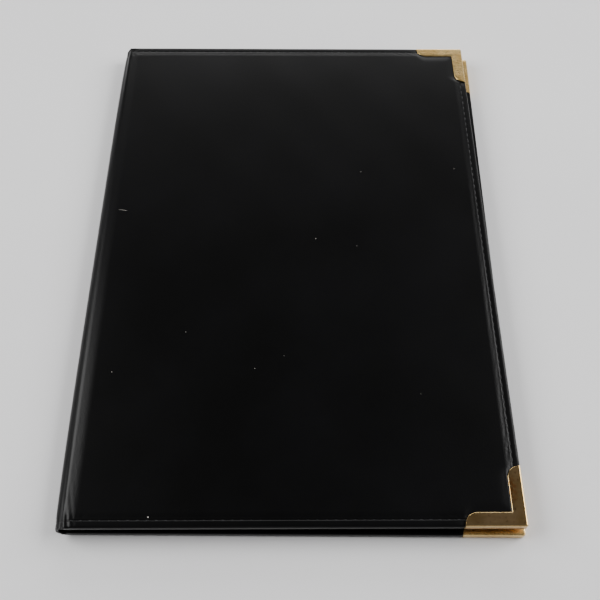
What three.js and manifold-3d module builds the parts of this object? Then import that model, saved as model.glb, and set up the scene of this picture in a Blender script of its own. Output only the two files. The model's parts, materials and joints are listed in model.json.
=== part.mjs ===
// A closed padfolio, made as a three.js scene graph in millimetres.
//
// Two padded leather covers are joined by a soft rolled spine. Each cover carries two folded brass
// corner protectors. The back cover holds a writing pad by its backing card, and the front cover has
// a document pocket and two card pockets.
//
// Frame: +X runs from the spine to the fore-edge, +Y from the foot to the head, +Z up. The origin is
// the centre of the back cover's underside.

import * as THREE from "three";
import { mergeVertices } from "three/addons/utils/BufferGeometryUtils.js";
import Module from "manifold-3d";

// Writing pad, A4. The folio is made round it.
const PAD_WIDTH = 210;
const PAD_LENGTH = 297;
const PAD_SHEETS = 1.8;
const PAD_CARD = 0.5;
const PAD_HEAD_MARGIN = 16; // head of the pad below the head of the cover
const PAD_FOOT_MARGIN = 7; // foot of the pad above the foot of the cover
const PAD_SPINE_MARGIN = 2.3; // between the pad and the fold of the back cover
const PAD_SIDE_CLEARANCE = 0.3; // between the pad and the brass inner plates
const STRIP_PAPER = 0.2; // binding strip wrapped over the head of the pad
const STRIP_REACH = 9; // how far the strip comes down each face

// Covers
const CORNER_RADIUS = 3; // fore-edge corners, seen from above
const COVER_SKEW = 0.5; // degrees that the front cover has slipped round, towards the spine

// Plies of a cover, from the outside in
const LEATHER = 1.0;
const FOAM = 0.5;
const BOARD = 1.8;
const LINING = 0.5; // also the thickness of the leather hem beside it
const GLUE = 0.05; // gap that stands for a glue line

// Form of the leather
const RIM_WIDTH = 4.5; // stitched rim along the head, foot and fore-edge
const RIM_RAMP = 1.2; // slope from the rim up to the padded panel
const OUTER_ROUND = 1.0; // rounding of the outer edge
const INNER_ROUND = 0.4; // rounding of the edge where the leather turns in
const HEM_WIDTH = 12; // turned-in leather on the inner face
const LINING_GAP = 0.3; // between the hem and the lining
const FOAM_GAP = 0.3; // between the foot of the ramp's top edge and the foam

// Spine
const HINGE_HEIGHT = 2.6; // fold axis inside the outer face of each cover
const FOLD_CLEARANCE = 0.2; // left as the roll swings past the end of a cover
const SPINE_END_ROUND = 0.6; // rounding of the roll at head and foot

// Brass corner protectors
const BRASS = 0.5;
const BRASS_LEG = 30; // length along each edge
const BRASS_WIDTH = 7; // how far the plates reach in from the edge
const BRASS_END_RADIUS = 6.2; // quarter-round at the end of each leg
const MITRE_GAP = 0.3; // seam on the inner plate, where the two folded flaps meet

// Pockets, each a skin sewn down along three sides
const SLEEVE_SKIN = 0.5; // pad sleeve on the back cover
const SLEEVE_LENGTH = 138;
const SLEEVE_SEAM = 1.4;
const CARD_PLAY = 0.15; // between the backing card and the sleeve's seam
const POCKET_SKIN = 0.5; // document pocket on the front cover
const POCKET_SPACE = 0.15;
const POCKET_SEAM = 2.5;
const POCKET_EDGE_MARGIN = 3; // pockets end this far inside the cover's edges
const POCKET_SPINE_HEIGHT = 168; // top edge of the document pocket beside the spine
const POCKET_FORE_HEIGHT = 204; // and beside the fore-edge
const POCKET_SAG = 9; // how far the curved top edge dips below a straight line
const CARD_SKIN = 0.4; // card pockets
const CARD_SPACE = 0.15;
const CARD_SEAM = 2;
const CARD_WIDTH = 96; // outside width of the upper card pocket
const CARD_HEIGHT = 52;
const CARD_STEP = 16; // the upper card pocket stands this much nearer the head
const CARD_POCKET_GAP = 5; // between the document pocket and the lower card pocket
const CARD_FORE_MARGIN = 40; // from the fore-edge
const LID_CLEARANCE = 0.45; // between the pad and the front cover's pockets

// Worked-out sizes
const COVER = LEATHER + FOAM + BOARD + LINING + 3 * GLUE;
const RIM_DEPTH = FOAM + GLUE; // the rim has no foam under it
const BOARD_Z = LEATHER + FOAM + 2 * GLUE;
const HEM_Z = BOARD_Z + BOARD + GLUE;
const CARD_Z = COVER + GLUE;
const SLEEVE_SPACE = PAD_CARD + GLUE;
const SHEETS_Z = CARD_Z + SLEEVE_SPACE + SLEEVE_SKIN + GLUE;
const PAD_TOP = SHEETS_Z + PAD_SHEETS + GLUE + STRIP_PAPER;
const LOWER_CARD_SPACE = CARD_SPACE + CARD_SKIN + GLUE;
const FRONT_STACK = COVER + GLUE + LOWER_CARD_SPACE + CARD_SKIN;
const FOLIO_HEIGHT = PAD_TOP + LID_CLEARANCE + FRONT_STACK;
const FOLIO_LENGTH = PAD_FOOT_MARGIN + PAD_LENGTH + PAD_HEAD_MARGIN;
const HEAD_Y = FOLIO_LENGTH / 2;
const SKEW = THREE.MathUtils.degToRad(COVER_SKEW);
const SPINE_RADIUS = FOLIO_HEIGHT / 2;
const ROLL_REACH = SPINE_RADIUS - Math.sin(SKEW) * FOLIO_LENGTH; // least, at the head
const FOLD_GAP = Math.hypot(ROLL_REACH, HINGE_HEIGHT) - ROLL_REACH + FOLD_CLEARANCE;
const FLAT_WIDTH = PAD_SPINE_MARGIN + PAD_WIDTH + PAD_SIDE_CLEARANCE + BRASS_WIDTH;
const FOLIO_WIDTH = SPINE_RADIUS + FOLD_GAP + FLAT_WIDTH;
const SPINE_X = -FOLIO_WIDTH / 2;
const FORE_X = FOLIO_WIDTH / 2;
const COVER_X = FORE_X - FLAT_WIDTH; // where the flat covers begin
const PAD_LEFT = COVER_X + PAD_SPINE_MARGIN;
const PAD_RIGHT = PAD_LEFT + PAD_WIDTH;
const PAD_FOOT = -HEAD_Y + PAD_FOOT_MARGIN;
const PAD_HEAD = PAD_FOOT + PAD_LENGTH;
const POCKET_FOOT = -HEAD_Y + POCKET_EDGE_MARGIN;
const CARD_FOOT = POCKET_FOOT + Math.max(POCKET_SPINE_HEIGHT, POCKET_FORE_HEIGHT) + CARD_POCKET_GAP;
const ARC_STEPS = 6;
const ROLL_STEPS = 24;
const LEAN_STEPS = 10; // stretches along the spine, which twists a little as it leans
const CLEAR = 1; // cutters run this far past the piece that they cut

const wasm = await Module();
wasm.setup();

const finish = {
  leather: new THREE.MeshStandardMaterial({ color: "#121213", roughness: 0.42 }),
  lining: new THREE.MeshStandardMaterial({ color: "#26262a", roughness: 0.9 }),
  pocket: new THREE.MeshStandardMaterial({ color: "#18181a", roughness: 0.55 }),
  foam: new THREE.MeshStandardMaterial({ color: "#8d8d88", roughness: 1 }),
  board: new THREE.MeshStandardMaterial({ color: "#8a7a5e", roughness: 0.95 }),
  brass: new THREE.MeshStandardMaterial({ color: "#a88a4f", roughness: 0.28, metalness: 1 }),
  paper: new THREE.MeshStandardMaterial({ color: "#f3efdf", roughness: 0.9 }),
  card: new THREE.MeshStandardMaterial({ color: "#9a948a", roughness: 0.95 }),
  strip: new THREE.MeshStandardMaterial({ color: "#3a3a40", roughness: 0.7 }),
};

// A closed geometry as a solid that can be joined and cut.
function solidOf(geometry) {
  const bare = geometry.clone();
  bare.deleteAttribute("normal");
  bare.deleteAttribute("uv");
  const merged = mergeVertices(bare, 1e-4);
  return new wasm.Manifold(
    new wasm.Mesh({
      numProp: 3,
      vertProperties: merged.getAttribute("position").array,
      triVerts: new Uint32Array(merged.index.array),
    }),
  );
}

// A solid as a named mesh with flat facets.
function meshOf(name, solid, material) {
  const { numProp, vertProperties, triVerts } = solid.getMesh();
  const positions = new THREE.InterleavedBuffer(vertProperties, numProp);
  const indexed = new THREE.BufferGeometry()
    .setAttribute("position", new THREE.InterleavedBufferAttribute(positions, 3, 0))
    .setIndex(new THREE.BufferAttribute(triVerts, 1));
  const geometry = indexed.toNonIndexed();
  geometry.computeVertexNormals();
  const mesh = new THREE.Mesh(geometry, material);
  mesh.name = name;
  return mesh;
}

// A closed skin through rings of equally many points. `plan` is the ring seen flat, anticlockwise,
// and the rings follow each other towards the viewer.
function loft(plan, rings) {
  const count = plan.length;
  const positions = rings.flat().flatMap((p) => [p.x, p.y, p.z]);
  const index = [];
  for (let ring = 0; ring < rings.length - 1; ring++) {
    for (let i = 0; i < count; i++) {
      const a = ring * count + i;
      const b = ring * count + ((i + 1) % count);
      index.push(a, b, b + count, a, b + count, a + count);
    }
  }
  const top = (rings.length - 1) * count;
  for (const [a, b, c] of THREE.ShapeUtils.triangulateShape(plan, [])) {
    index.push(a, c, b, top + a, top + b, top + c);
  }
  const geometry = new THREE.BufferGeometry();
  geometry.setAttribute("position", new THREE.Float32BufferAttribute(positions, 3));
  geometry.setIndex(index);
  return solidOf(geometry);
}

// An outline extruded from one height to another.
function prism(points, z0, z1) {
  const geometry = new THREE.ExtrudeGeometry(new THREE.Shape(points), {
    depth: z1 - z0,
    bevelEnabled: false,
  });
  return solidOf(geometry.translate(0, 0, z0));
}

function block(x0, x1, y0, y1, z0, z1) {
  const geometry = new THREE.BoxGeometry(x1 - x0, y1 - y0, z1 - z0);
  return solidOf(geometry.translate((x0 + x1) / 2, (y0 + y1) / 2, (z0 + z1) / 2));
}

// Points of a circular arc, both ends included.
function arc(cx, cy, radius, from, to, steps = ARC_STEPS) {
  return Array.from({ length: steps + 1 }, (_, i) => {
    const angle = THREE.MathUtils.degToRad(from + ((to - from) * i) / steps);
    return new THREE.Vector2(cx + radius * Math.cos(angle), cy + radius * Math.sin(angle));
  });
}

// Outline of a flat cover, moved in from the head, foot and fore-edge, but not at the spine.
function coverOutline(inset, spineX = COVER_X) {
  const radius = Math.max(CORNER_RADIUS - inset, 0.05);
  const x = FORE_X - inset - radius;
  const y = HEAD_Y - inset - radius;
  return [
    new THREE.Vector2(spineX, -HEAD_Y + inset),
    ...arc(x, -y, radius, -90, 0),
    ...arc(x, y, radius, 0, 90),
    new THREE.Vector2(spineX, HEAD_Y - inset),
  ];
}

// A cover-shaped slab through steps of [inset, height].
function coverSlab(steps) {
  const rings = steps.map(([inset, z]) =>
    coverOutline(inset).map((p) => new THREE.Vector3(p.x, p.y, z)),
  );
  return loft(coverOutline(0), rings);
}

// Outline of a corner protector. u runs in from the fore-edge and v in from the head or foot edge;
// side is 1 for the head and -1 for the foot. `grow` widens it inwards and `past` outwards.
function brassOutline(side, grow = 0, past = 0) {
  const leg = BRASS_LEG + grow;
  const width = BRASS_WIDTH + grow;
  const end = Math.min(BRASS_END_RADIUS, width);
  const round = past ? 0.05 : CORNER_RADIUS;
  const uv = [
    ...arc(round - past, round - past, round, 180, 270),
    new THREE.Vector2(leg, -past),
    ...arc(leg - end, width - end, end, 0, 90),
    new THREE.Vector2(width, width),
    ...arc(width - end, leg - end, end, 0, 90),
    new THREE.Vector2(-past, leg),
  ];
  return uv.map((p) => new THREE.Vector2(FORE_X - p.x, side * (HEAD_Y - p.y)));
}

// What lies between a corner protector's plates: the cover's own corner, moved in by `inset`.
function cornerCore(side, inset, z0, z1) {
  const radius = CORNER_RADIUS - inset;
  const far = BRASS_LEG + 2 * BRASS_WIDTH;
  const uv = [
    ...arc(inset + radius, inset + radius, radius, 180, 270),
    new THREE.Vector2(far, inset),
    new THREE.Vector2(far, far),
    new THREE.Vector2(inset, far),
  ];
  const points = uv.map((p) => new THREE.Vector2(FORE_X - p.x, side * (HEAD_Y - p.y)));
  return prism(points, z0, z1);
}

// A folded brass protector: outer plate, two walls and an inner plate with a mitred seam.
function brassCorner(side) {
  const top = COVER + GLUE + BRASS;
  const channel = prism(brassOutline(side), 0, top).subtract(
    cornerCore(side, BRASS, BRASS, COVER + GLUE),
  );
  const seamLength = 2 * (Math.hypot(BRASS_WIDTH, BRASS_WIDTH) + CLEAR);
  const seam = new THREE.BoxGeometry(seamLength, MITRE_GAP, BRASS + CLEAR);
  seam.rotateZ(side * (Math.PI / 4));
  seam.translate(FORE_X, side * HEAD_Y, COVER + GLUE + (BRASS + CLEAR) / 2);
  return channel.subtract(solidOf(seam));
}

// The leather of one cover: padded panel, stitched rim, edge, and the hem round the inner face.
function coverLeather() {
  const quarter = [0, 30, 60, 90].map((a) => THREE.MathUtils.degToRad(a));
  const outer = quarter.map((a) => [
    OUTER_ROUND * (1 - Math.sin(a)),
    RIM_DEPTH + OUTER_ROUND * (1 - Math.cos(a)),
  ]);
  const inner = quarter.map((a) => [
    INNER_ROUND * (1 - Math.cos(a)),
    COVER - INNER_ROUND * (1 - Math.sin(a)),
  ]);
  const panel = coverSlab([
    [RIM_WIDTH + RIM_RAMP, 0],
    [RIM_WIDTH + RIM_RAMP / 4, RIM_DEPTH * 0.6],
    [RIM_WIDTH, RIM_DEPTH],
    [RIM_WIDTH, RIM_DEPTH + LEATHER / 2],
  ]);
  const boardRoom = coverCavity(LEATHER, RIM_DEPTH + LEATHER, HEM_Z);
  const window = block(
    COVER_X - CLEAR,
    FORE_X - HEM_WIDTH,
    -HEAD_Y + HEM_WIDTH,
    HEAD_Y - HEM_WIDTH,
    HEM_Z - CLEAR,
    COVER + CLEAR,
  );
  let leather = coverSlab([...outer, ...inner])
    .add(panel)
    .subtract(boardRoom)
    .subtract(foamSolid(GLUE, CLEAR))
    .subtract(window);
  for (const side of [-1, 1]) {
    const pressed = prism(brassOutline(side, GLUE, CLEAR), -CLEAR, COVER + CLEAR).subtract(
      cornerCore(side, BRASS + GLUE, BRASS + GLUE, COVER + 2 * CLEAR),
    );
    leather = leather.subtract(pressed);
  }
  return leather;
}

// Room inside the leather, open at the spine.
function coverCavity(inset, z0, z1) {
  return prism(coverOutline(inset, COVER_X - CLEAR), z0, z1);
}

// The foam ply under the panel, with its two corners cut back for the brass. `grow` and `past`
// make the room for it in the leather.
function foamSolid(grow = 0, past = 0) {
  const inset = RIM_WIDTH + RIM_RAMP + FOAM_GAP - grow;
  const spineX = COVER_X - past;
  const z0 = LEATHER + GLUE - grow;
  const z1 = LEATHER + GLUE + FOAM + grow;
  let foam = prism(coverOutline(inset, spineX), z0, z1);
  for (const side of [-1, 1]) {
    const notch = prism(brassOutline(side, LEATHER + 2 * GLUE - grow, CLEAR), z0 - CLEAR, z1 + CLEAR);
    foam = foam.subtract(notch);
  }
  return foam;
}

function boardSolid() {
  return prism(coverOutline(LEATHER + GLUE), BOARD_Z, BOARD_Z + BOARD);
}

function liningSolid() {
  const inset = HEM_WIDTH + LINING_GAP;
  return block(COVER_X, FORE_X - inset, -HEAD_Y + inset, HEAD_Y - inset, HEM_Z, COVER);
}

// A pocket skin sewn down at the foot and both sides and open at the head. Its top edge runs from
// headLeft to headRight and dips by `sag` between them.
function sewnPocket({ left, right, foot, headLeft, headRight, sag, seam, space, skin }) {
  const outline = new THREE.Shape();
  outline.moveTo(left, foot);
  outline.lineTo(right, foot);
  outline.lineTo(right, headRight);
  outline.quadraticCurveTo((left + right) / 2, (headLeft + headRight) / 2 - 2 * sag, left, headLeft);
  const z0 = COVER + GLUE;
  const points = outline.getPoints(2 * ARC_STEPS).slice(0, -1);
  const room = block(
    left + seam,
    right - seam,
    foot + seam,
    Math.max(headLeft, headRight) + CLEAR,
    z0 - CLEAR,
    z0 + space,
  );
  return prism(points, z0, z0 + space + skin).subtract(room);
}

// A pocket with its fore-edge corner at the foot cut back round the brass inner plate.
function clearOfBrass(pocket) {
  const top = COVER + FRONT_STACK;
  return pocket.subtract(prism(brassOutline(-1, LINING_GAP, CLEAR), COVER - CLEAR, top));
}

function padSleeve() {
  return clearOfBrass(
    sewnPocket({
      left: PAD_LEFT - CARD_PLAY - SLEEVE_SEAM,
      right: FORE_X - POCKET_EDGE_MARGIN,
      foot: POCKET_FOOT,
      headLeft: POCKET_FOOT + SLEEVE_LENGTH,
      headRight: POCKET_FOOT + SLEEVE_LENGTH,
      sag: 0,
      seam: SLEEVE_SEAM,
      space: SLEEVE_SPACE,
      skin: SLEEVE_SKIN,
    }),
  );
}

function documentPocket() {
  return clearOfBrass(
    sewnPocket({
      left: COVER_X + LINING_GAP,
      right: FORE_X - POCKET_EDGE_MARGIN,
      foot: POCKET_FOOT,
      headLeft: POCKET_FOOT + POCKET_SPINE_HEIGHT,
      headRight: POCKET_FOOT + POCKET_FORE_HEIGHT,
      sag: POCKET_SAG,
      seam: POCKET_SEAM,
      space: POCKET_SPACE,
      skin: POCKET_SKIN,
    }),
  );
}

// The two card pockets overlap, with the lower one on top and wider by a seam on each side.
function cardPocket(isLower) {
  const reach = isLower ? CARD_SEAM + LINING_GAP : 0;
  const right = FORE_X - CARD_FORE_MARGIN + reach;
  const foot = CARD_FOOT + (isLower ? 0 : CARD_STEP);
  return sewnPocket({
    left: FORE_X - CARD_FORE_MARGIN - CARD_WIDTH - reach,
    right,
    foot,
    headLeft: foot + CARD_HEIGHT,
    headRight: foot + CARD_HEIGHT,
    sag: 0,
    seam: CARD_SEAM,
    space: isLower ? LOWER_CARD_SPACE : CARD_SPACE,
    skin: CARD_SKIN,
  });
}

function padCard() {
  return block(PAD_LEFT, PAD_RIGHT, PAD_FOOT, PAD_HEAD, CARD_Z, CARD_Z + PAD_CARD);
}

function padSheets() {
  const top = SHEETS_Z + PAD_SHEETS;
  return block(PAD_LEFT, PAD_RIGHT, PAD_FOOT, PAD_HEAD, SHEETS_Z, top);
}

// A strip of paper glued over the head of the pad, from the back of the card to the top sheet.
function padStrip() {
  const foot = PAD_HEAD - STRIP_REACH;
  const head = PAD_HEAD + GLUE + STRIP_PAPER;
  const fold = block(PAD_LEFT, PAD_RIGHT, foot, head, CARD_Z + PAD_CARD + GLUE, PAD_TOP);
  const room = block(
    PAD_LEFT - CLEAR,
    PAD_RIGHT + CLEAR,
    foot - CLEAR,
    PAD_HEAD + GLUE,
    SHEETS_Z - GLUE,
    SHEETS_Z + PAD_SHEETS + GLUE,
  );
  return fold.subtract(room);
}

// One ply of the rolled spine, a half-round between the two covers. The roll leans with the front
// cover's skew, from nothing at the back cover to all of it at the front one.
function spineRoll(outerRadius, thickness) {
  const cx = SPINE_X + SPINE_RADIUS;
  const ring = (y, shrink) => {
    const outer = arc(cx, SPINE_RADIUS, outerRadius - shrink, 90, 270, ROLL_STEPS);
    const inner = arc(cx, SPINE_RADIUS, outerRadius - thickness, 270, 90, ROLL_STEPS);
    return [...outer, ...inner].map((p) => {
      const lean = (Math.sin(SKEW) * (y + HEAD_Y) * p.y) / FOLIO_HEIGHT;
      return new THREE.Vector3(p.x - lean, y, p.y);
    });
  };
  const round = Math.min(SPINE_END_ROUND, thickness * 0.6);
  const straight = Array.from({ length: LEAN_STEPS + 1 }, (_, i) =>
    ring((HEAD_Y - round) * (1 - (2 * i) / LEAN_STEPS), 0),
  );
  const rings = [ring(HEAD_Y, round), ...straight, ring(-HEAD_Y, round)];
  const plan = rings[1].map((p) => new THREE.Vector2(p.x, p.z));
  return loft(plan, rings);
}

// The four plies that both covers share, in the back cover's place.
function coverPlies(cover) {
  const group = new THREE.Group();
  group.add(
    meshOf(`${cover}_cover_leather`, coverLeather(), finish.leather),
    meshOf(`${cover}_cover_foam`, foamSolid(), finish.foam),
    meshOf(`${cover}_cover_board`, boardSolid(), finish.board),
    meshOf(`${cover}_lining`, liningSolid(), finish.lining),
    meshOf(`brass_corner_${cover}_head`, brassCorner(1), finish.brass),
    meshOf(`brass_corner_${cover}_foot`, brassCorner(-1), finish.brass),
  );
  return group;
}

function backCover() {
  const group = coverPlies("back");
  group.add(
    meshOf("pad_sleeve", padSleeve(), finish.pocket),
    meshOf("pad_backing_card", padCard(), finish.card),
    meshOf("pad_sheets", padSheets(), finish.paper),
    meshOf("pad_binding_strip", padStrip(), finish.strip),
  );
  return group;
}

// The roll's leather and lining. The jacket is one piece of leather on the real thing: this is its
// middle stretch, which turns against both covers at the folds.
function spine() {
  const group = new THREE.Group();
  group.add(
    meshOf("spine_leather", spineRoll(SPINE_RADIUS, LEATHER), finish.leather),
    meshOf("spine_lining", spineRoll(SPINE_RADIUS - LEATHER - GLUE, LINING), finish.lining),
  );
  return group;
}

// The front cover is the back cover's mirror image over the pad, turned by the skew about the foot
// end of the spine.
function frontCover() {
  const mirrored = coverPlies("front");
  mirrored.add(
    meshOf("document_pocket", documentPocket(), finish.pocket),
    meshOf("card_pocket_upper", cardPocket(false), finish.pocket),
    meshOf("card_pocket_lower", cardPocket(true), finish.pocket),
  );
  mirrored.scale.z = -1;
  mirrored.position.set(-SPINE_X, HEAD_Y, FOLIO_HEIGHT);
  const turned = new THREE.Group();
  turned.add(mirrored);
  turned.rotation.z = SKEW;
  turned.position.set(SPINE_X, -HEAD_Y, 0);
  return turned;
}

const padfolio = new THREE.Group();
padfolio.name = "padfolio";
padfolio.add(backCover(), spine(), frontCover());

export default padfolio;
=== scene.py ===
# %% [markdown]
# A closed padfolio in black polished leather, with brass corner protectors.
# The frame holds its pieces at their real size. This lesson dresses them: the leather jacket is
# worked out as one skin that runs round the spine, the brass is a folded channel, and the pad,
# pockets and stitches are made where the frame has room for them.

# %% The frame
import json
import math

import bmesh
import bpy
import numpy as np
from mathutils import Matrix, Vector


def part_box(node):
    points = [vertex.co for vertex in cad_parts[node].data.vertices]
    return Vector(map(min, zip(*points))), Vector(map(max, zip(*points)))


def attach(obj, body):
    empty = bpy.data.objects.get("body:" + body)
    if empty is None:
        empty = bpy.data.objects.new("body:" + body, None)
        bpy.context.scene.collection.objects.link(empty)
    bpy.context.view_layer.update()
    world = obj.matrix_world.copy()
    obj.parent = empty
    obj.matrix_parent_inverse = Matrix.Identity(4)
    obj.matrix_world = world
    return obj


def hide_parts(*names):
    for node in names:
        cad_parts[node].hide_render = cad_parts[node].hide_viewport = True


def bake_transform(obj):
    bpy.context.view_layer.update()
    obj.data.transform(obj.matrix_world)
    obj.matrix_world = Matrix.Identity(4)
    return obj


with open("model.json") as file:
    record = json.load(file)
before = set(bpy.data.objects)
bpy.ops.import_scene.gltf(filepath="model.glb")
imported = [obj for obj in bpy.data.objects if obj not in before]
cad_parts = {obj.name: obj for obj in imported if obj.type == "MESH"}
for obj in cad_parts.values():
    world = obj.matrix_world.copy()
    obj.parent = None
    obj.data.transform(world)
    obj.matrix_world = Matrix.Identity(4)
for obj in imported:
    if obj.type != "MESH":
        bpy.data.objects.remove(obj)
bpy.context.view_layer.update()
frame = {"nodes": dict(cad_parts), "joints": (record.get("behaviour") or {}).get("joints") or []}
print("nodes in the frame", len(frame["nodes"]))

# %% [markdown]
# Every size comes from the frame, in millimetres here and in metres in the meshes. The two hinge
# axes give the spine's outside and the folio's thickness, and the back cover's leather gives the
# rest. Only what the frame can't say is written down, such as how wide the stitched rim is.

# %% Sizes
MM = 0.001
hinge = {joint["name"]: [v / MM for v in joint["pos_m"]] for joint in frame["joints"]}
SPINE_X = hinge["spine_hinge"][0]
THICK = hinge["spine_hinge"][2] + hinge["cover_hinge"][2]


def box_mm(node):
    """Lowest and highest corner of a node of the frame, in millimetres."""
    low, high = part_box(node)
    return np.array(low) / MM, np.array(high) / MM


low, high = box_mm("back_cover_leather")
COVER_X, FOOT, COVER = low[0], low[1], high[2]
FORE, HEAD = high[0], high[1]
ROLL_R = THICK / 2
ROLL = ROLL_R * math.pi / 2  # length of leather from mid-spine to the end of the roll
PATH_FORE = ROLL + FORE - (SPINE_X + ROLL_R)  # from mid-spine to the fore-edge, along the skin
SKEW = math.radians(0.5)  # the front cover has slipped round by this much
BACK_SPREAD = 1.9  # the back cover's fore-edge leans out by this much at the head
SIDES = ((1, "front"), (-1, "back"))

RIM_LINE = 8.0  # inner limit of the edge strip: ramp, stitched rim and turned edge
CORNER_R = 3.0
HEM = 12.0  # the leather is turned in by this much
JACKET_THICK = 0.45
CLOTH_THICK = 0.35
SLACK = 0.05  # between a cover's leather and what lies on it

BRASS = 0.5
BRASS_LEG = 30.0
BRASS_WIDTH = 7.0
BRASS_END_R = 6.2
BRASS_PROUD = 0.12  # the front cover's brass stands this much above the leather
BRASS_CORNER_R = 1.1  # the sheet is creased to a much sharper corner than the leather has
BRASS_GAP = 0.35  # from the brass's outline to leather that ends or drops beside it
print("thickness", round(THICK, 2), "cover", round(COVER, 2))
print("skin from mid-spine to fore-edge", round(PATH_FORE, 1))

# %% [markdown]
# The jacket is one piece of leather, so it is described unrolled: p runs from the middle of the
# spine towards a fore-edge, y from foot to head, and n is the depth below the skin. One function
# rolls that round the spine and lays it on a cover. It also gives the front cover its small slip.
# A cloth simulation could drape it, but leather that is glued down over board has no slack to fall.


# %% Rolling the skin up
def smooth(value, start, end):
    """0 before start, 1 after end, with an eased rise between them: 3 t squared less 2 t cubed."""
    t = np.clip((value - start) / (end - start), 0, 1)
    return t * t * (3 - 2 * t)


def slip(x, y, z):
    """Turns the front cover's points by the skew about the spine's foot end, and the roll's by less."""
    share = np.clip(z / THICK, 0, 1)
    share = np.where(x > SPINE_X + ROLL_R, 1.0, share)
    dx, dy = x - SPINE_X, y - FOOT
    sine, cosine = math.sin(SKEW) * share, 1 - (1 - math.cos(SKEW)) * share
    return SPINE_X + cosine * dx - sine * dy, FOOT + cosine * dy + sine * dx, z


def rolled(p, y, n, side):
    """Place of the skin point (p, y) at depth n: on an arc of the roll's radius, then flat.

    side is 1 for the front half and -1 for the back half, whose fore-edge leans out.
    """
    p, y, n = np.broadcast_arrays(np.asarray(p, float), np.asarray(y, float), np.asarray(n, float))
    angle = np.clip(p / ROLL_R, 0, math.pi / 2)
    x = SPINE_X + ROLL_R - (ROLL_R - n) * np.cos(angle)
    z = ROLL_R + side * (ROLL_R - n) * np.sin(angle)
    x = np.where(p > ROLL, SPINE_X + ROLL_R + p - ROLL, x)
    if side > 0:
        x, y, z = slip(x, y, z)
    else:
        turned, _, _ = slip(x, y, np.full_like(x, THICK))
        on_roll = np.clip((ROLL - p) / ROLL, 0, 1)
        x = x + (turned - x) * 0.5 * on_roll * np.clip(z / ROLL_R, 0, 1)
        spread = BACK_SPREAD * (y - FOOT) / (HEAD - FOOT)
        x = x + spread * np.clip((p - ROLL) / (PATH_FORE - ROLL), 0, 1)
    return np.stack([x, y, z], -1)


def depth_share(p):
    """The cover is thick and the roll is leather and lining only, so depths shrink on the roll."""
    return 0.42 + 0.58 * smooth(p, ROLL - 3.2, ROLL + 0.9)


print("half of the roll", round(ROLL, 2), "of radius", round(ROLL_R, 2))

# %% [markdown]
# Each surface is a grid of points turned into quads. Rows that fall together at a corner are merged,
# so the mesh stays closed and no face has zero size. Solidify then gives a skin its thickness, which
# is simpler than working out an inner wall.


# %% Meshes from grids
def quads_of(rows, columns, flip=False):
    """Faces of a grid: each joins four neighbouring points. flip turns them to the other side."""
    index = np.arange(rows * columns).reshape(rows, columns)
    a, b, c, d = index[:-1, :-1], index[1:, :-1], index[1:, 1:], index[:-1, 1:]
    quads = np.stack([a, b, c, d], -1).reshape(-1, 4)
    return quads[:, ::-1] if flip else quads


def mesh_of(name, points_mm, faces, material, merge=0.002):
    """Points in millimetres and faces as a smooth-shaded object at the origin, doubles merged."""
    points = np.asarray(points_mm, float).reshape(-1, 3) * MM
    mesh = bpy.data.meshes.new(name)
    mesh.from_pydata(points.tolist(), [], np.asarray(faces).tolist())
    work = bmesh.new()
    work.from_mesh(mesh)
    if merge:
        bmesh.ops.remove_doubles(work, verts=work.verts, dist=merge * MM)
        bmesh.ops.dissolve_degenerate(work, edges=work.edges, dist=merge * MM / 4)
    work.to_mesh(mesh)
    work.free()
    mesh.polygons.foreach_set("use_smooth", [True] * len(mesh.polygons))
    mesh.update()
    thing = bpy.data.objects.new(name, mesh)
    bpy.context.scene.collection.objects.link(thing)
    mesh.materials.append(material)
    return thing


def piece(name, grid_mm, material, flip=False, merge=0.002):
    """A mesh from one (rows, columns, 3) grid in millimetres."""
    return mesh_of(name, grid_mm, quads_of(*grid_mm.shape[:2], flip), material, merge)


def thicken(thing, thickness_mm, even=True):
    """Gives a sheet its thickness, inwards from the side that its faces point to."""
    solid = thing.modifiers.new("thickness", "SOLIDIFY")
    solid.thickness = thickness_mm * MM
    solid.offset = -1.0
    solid.use_even_offset = even


def stack(*grids):
    """Joins (points, faces) pairs into one pair, each pair's faces counted on from the last."""
    points, faces, start = [], [], 0
    for grid_points, grid_faces in grids:
        points.append(grid_points.reshape(-1, 3))
        faces.append(grid_faces + start)
        start += len(points[-1])
    return np.vstack(points), np.vstack(faces)


print("a grid of 3 by 4 points has", len(quads_of(3, 4)), "faces")

# %% [markdown]
# A material is a tree of nodes. One function adds a node with its settings and links, so each recipe
# below reads from top to bottom. The colours are sRGB hex values, as a colour picker gives them, and
# one function turns them to the linear values that the shader works with. Every pattern is placed by
# Object coordinates in metres, so its scale is worked out from a real spacing in millimetres.


# %% Material helpers
def linear(hex_colour):
    """An sRGB hex colour as linear red, green, blue and alpha, by the sRGB curve."""
    values = [int(hex_colour[i : i + 2], 16) / 255 for i in (1, 3, 5)]
    return [v / 12.92 if v <= 0.04045 else ((v + 0.055) / 1.055) ** 2.4 for v in values] + [1.0]


def add(tree, kind, links=None, stops=(), **settings):
    """Adds a node.

    settings are its properties. links maps a socket to a value, to an output, or to a node whose
    first output is meant. stops are the two positions of a colour ramp, each with a grey or a hex.
    """
    node = tree.nodes.new("ShaderNode" + kind)
    for name, value in settings.items():
        setattr(node, name, value)
    for socket, value in (links or {}).items():
        if isinstance(value, bpy.types.Node):
            value = value.outputs[0]
        if isinstance(value, bpy.types.NodeSocket):
            tree.links.new(value, node.inputs[socket])
        else:
            node.inputs[socket].default_value = value
    for k, (position, value) in enumerate(stops):
        node.color_ramp.elements[k].position = position
        colour = linear(value) if isinstance(value, str) else [value] * 3 + [1]
        node.color_ramp.elements[k].color = colour
    return node


def new_material(name):
    """An empty material, its tree, and the coordinates that its patterns are placed by."""
    material = bpy.data.materials.new(name)
    material.use_nodes = True
    tree = material.node_tree
    tree.nodes.clear()
    return material, tree, add(tree, "TexCoord").outputs["Object"]


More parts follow.
